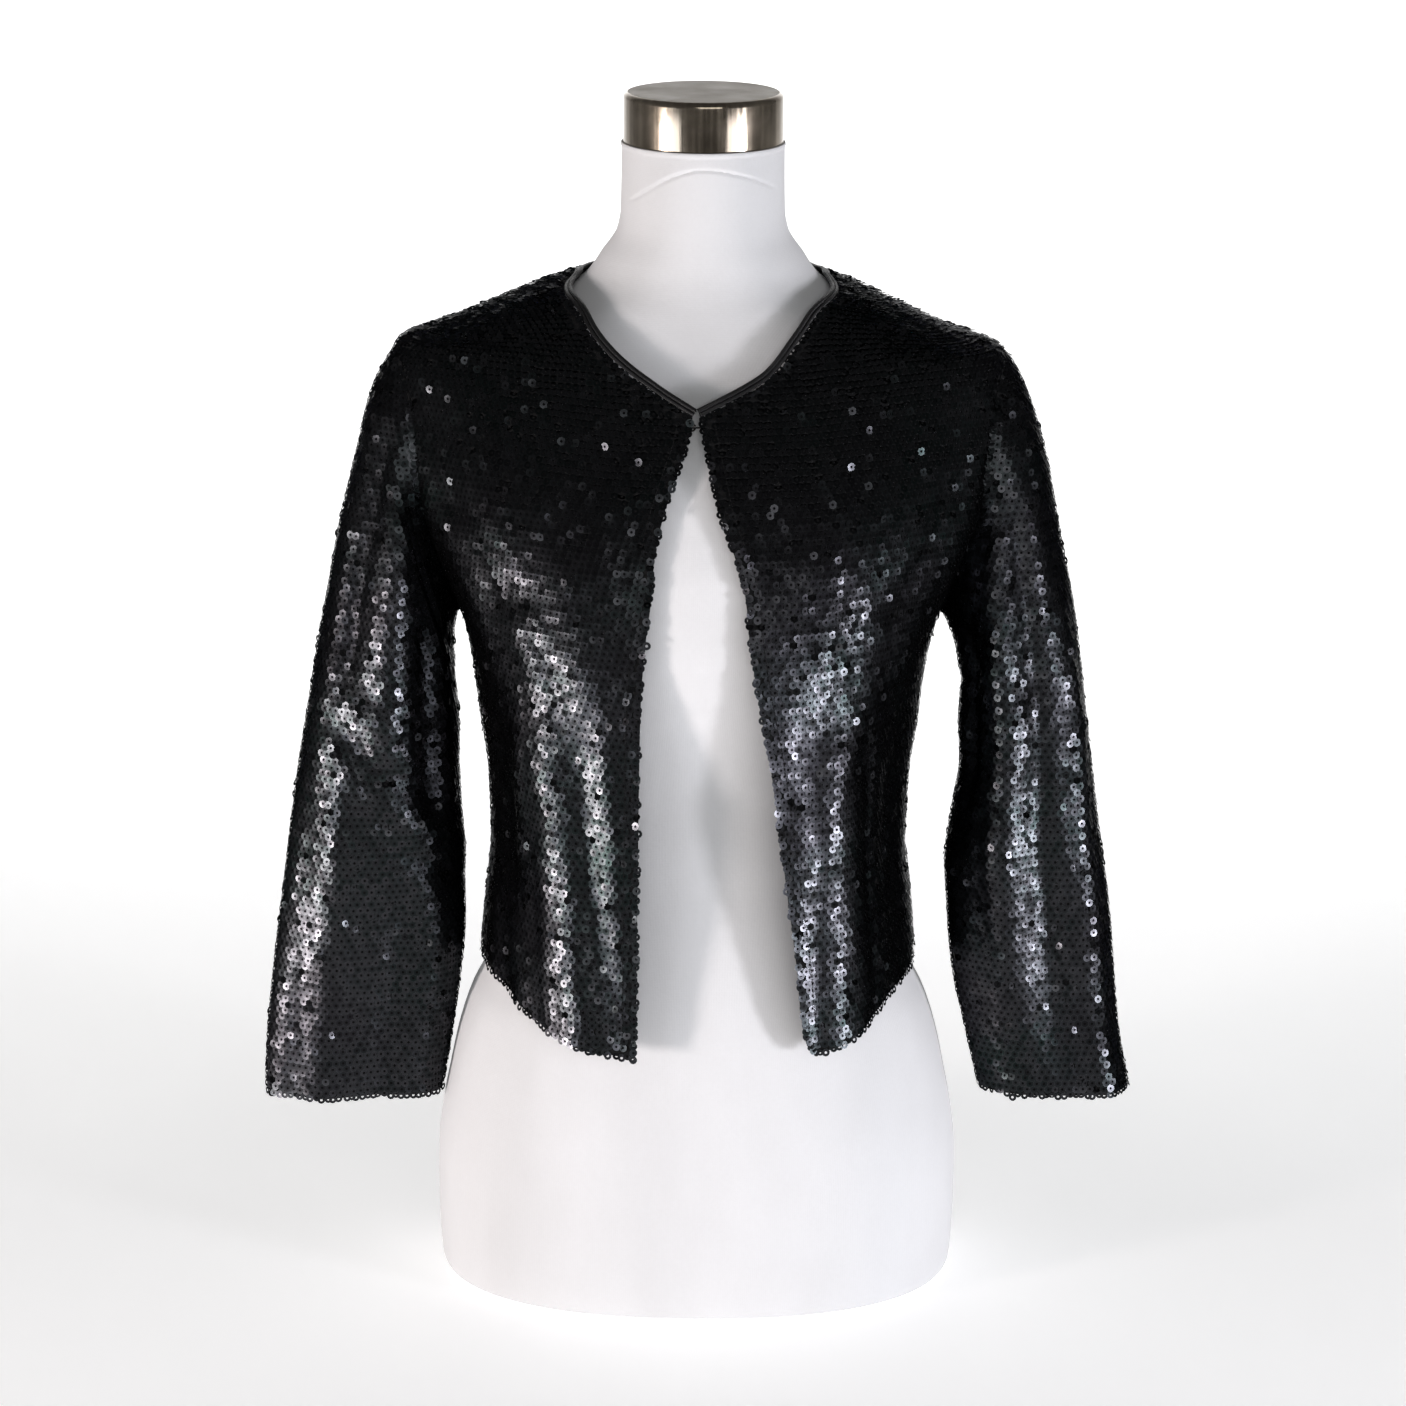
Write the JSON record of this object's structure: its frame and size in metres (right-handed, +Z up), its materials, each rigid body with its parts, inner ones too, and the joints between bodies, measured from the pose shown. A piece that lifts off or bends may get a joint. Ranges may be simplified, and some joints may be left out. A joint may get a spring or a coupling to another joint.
{
  "type": "cropped sequinned jacket on a limbless dress form",
  "caption": "Cropped open-front jacket covered in black sequins, with three-quarter sleeves and satin neck binding, worn on a white limbless dress form with a metal neck cap.",
  "frame": {"origin": "centre of the bounding box, at the flat bottom of the dress form", "axes": "+Z up; the front faces -Y; the wearer's left side is at +X"},
  "size_m": [0.5624, 0.2384, 0.7723],
  "materials": {
    "sequinned_cloth": "black cloth covered in small satin sequins",
    "satin": "smooth black satin",
    "jersey": "matt white jersey over a foam torso",
    "cap_metal": "brushed warm grey metal",
    "closure_metal": "black lacquered wire"
  },
  "bodies": {
    "root": {"dress_form": "jersey", "neck_cap": "cap_metal", "left_front": "sequinned_cloth", "right_front": "sequinned_cloth", "back": "sequinned_cloth", "left_sleeve": "sequinned_cloth", "right_sleeve": "sequinned_cloth", "neck_binding": "satin", "back_neck_facing": "satin", "eye": "closure_metal", "hook": "closure_metal"}
  },
  "joints": []
}
